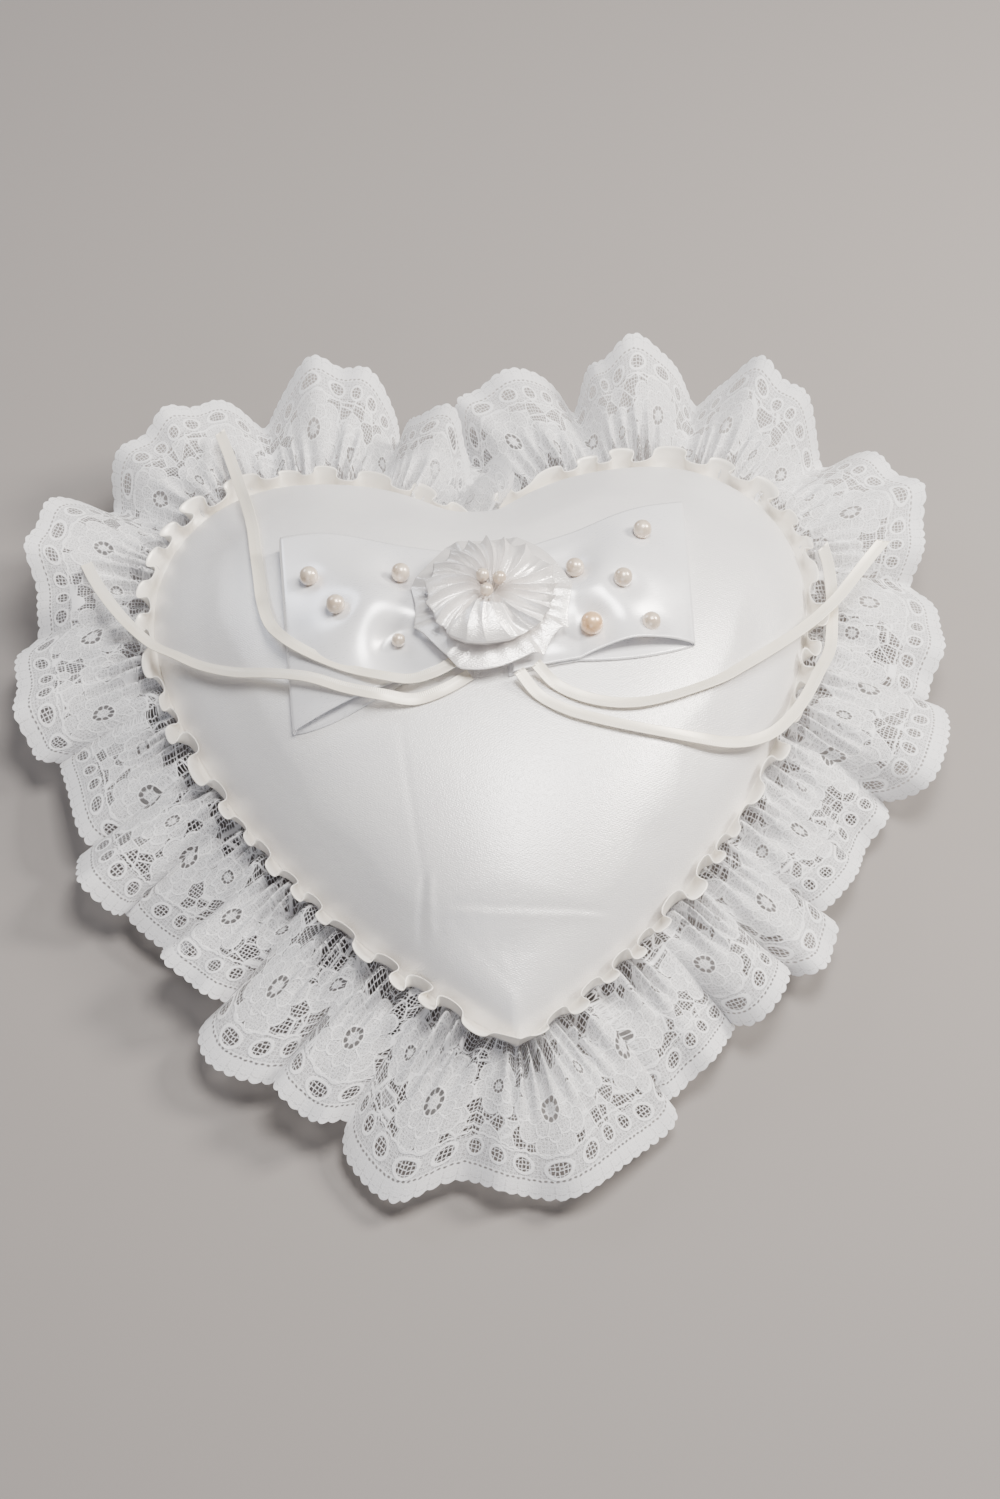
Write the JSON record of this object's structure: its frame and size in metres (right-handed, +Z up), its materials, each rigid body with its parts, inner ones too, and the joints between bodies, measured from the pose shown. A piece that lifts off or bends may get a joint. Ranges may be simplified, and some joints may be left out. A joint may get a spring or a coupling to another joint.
{
  "type": "ring bearer pillow",
  "caption": "Small stuffed heart-shaped satin pillow with a gathered lace edging, ribbon ruffle, flat bow, gathered rosette, pearls and narrow ribbon ties for the rings.",
  "frame": {"origin": "middle of the flat patch on the back panel that the pillow rests on", "axes": "+Z up through the rosette, +Y towards the heart's notch, +X across the heart to the right as seen from above with the notch behind"},
  "size_m": [0.2442, 0.2449, 0.0754],
  "materials": {
    "white_satin": "white bridal satin with a soft sheen",
    "white_lace": "white gathered knitted lace, partly see-through",
    "ivory_ribbon": "ivory narrow satin ribbon, ruffled",
    "bow_satin": "white satin ribbon, bright sheen",
    "rosette_satin": "white gathered satin ribbon",
    "cream_ribbon": "cream narrow satin ribbon with woven edges",
    "ivory_pearl": "ivory imitation pearl",
    "peach_pearl": "peach imitation pearl",
    "fibre_fill": "white loose fibre filling",
    "backing_felt": "off-white felt"
  },
  "bodies": {
    "root": {"satin_top_panel": "white_satin", "satin_back_panel": "white_satin", "fibre_filling": "fibre_fill", "lace_ruffle": "white_lace", "ribbon_ruffle_trim": "ivory_ribbon", "bow_left_loop": "bow_satin", "bow_right_loop": "bow_satin", "rosette_backing_disc": "backing_felt", "rosette_outer_ruffle": "rosette_satin", "rosette_inner_puff": "rosette_satin", "rosette_pearl_1": "ivory_pearl", "rosette_pearl_2": "ivory_pearl", "rosette_pearl_3": "ivory_pearl", "bow_pearl_1": "ivory_pearl", "bow_pearl_2": "ivory_pearl", "bow_pearl_3": "ivory_pearl", "bow_pearl_4": "ivory_pearl", "bow_pearl_5": "ivory_pearl", "bow_pearl_6": "ivory_pearl", "bow_pearl_7": "ivory_pearl", "bow_pearl_8": "ivory_pearl", "bow_pearl_9": "peach_pearl", "ring_tie_left_outer": "cream_ribbon", "ring_tie_left_inner": "cream_ribbon", "ring_tie_right_outer": "cream_ribbon", "ring_tie_right_inner": "cream_ribbon"}
  },
  "joints": []
}
